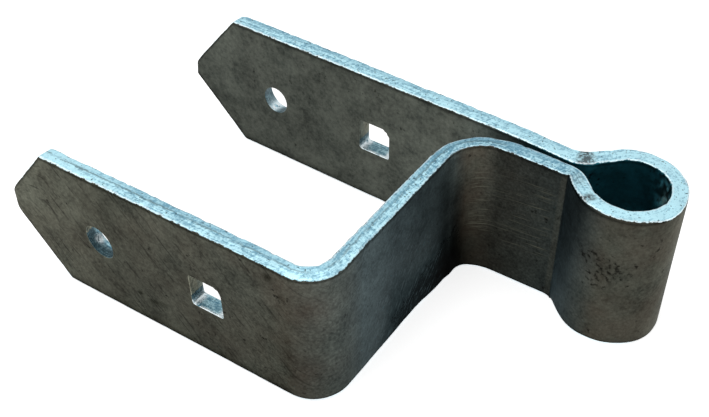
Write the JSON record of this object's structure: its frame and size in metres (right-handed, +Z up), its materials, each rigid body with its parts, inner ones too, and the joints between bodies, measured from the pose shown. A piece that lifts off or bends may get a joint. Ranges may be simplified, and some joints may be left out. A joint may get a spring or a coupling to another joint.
{
  "type": "gate strap hinge",
  "caption": "Galvanised flat bar folded into a gate strap hinge: a rolled eye drops over the pin, and clipped parallel legs clasp the gate rail with round and square bolt holes.",
  "frame": {"origin": "on the eye's axis at the bar's lower edge", "axes": "+Z up along the pin, -X from the eye out along the legs, +Y from the near leg to the far leg"},
  "size_m": [0.1803, 0.1021, 0.05],
  "materials": {
    "galvanised_steel": "hot-dip galvanised flat bar, dulled brown-grey on the rolled faces, bright on the cut edges"
  },
  "bodies": {
    "root": {"hinge_strap": "galvanised_steel"}
  },
  "joints": []
}
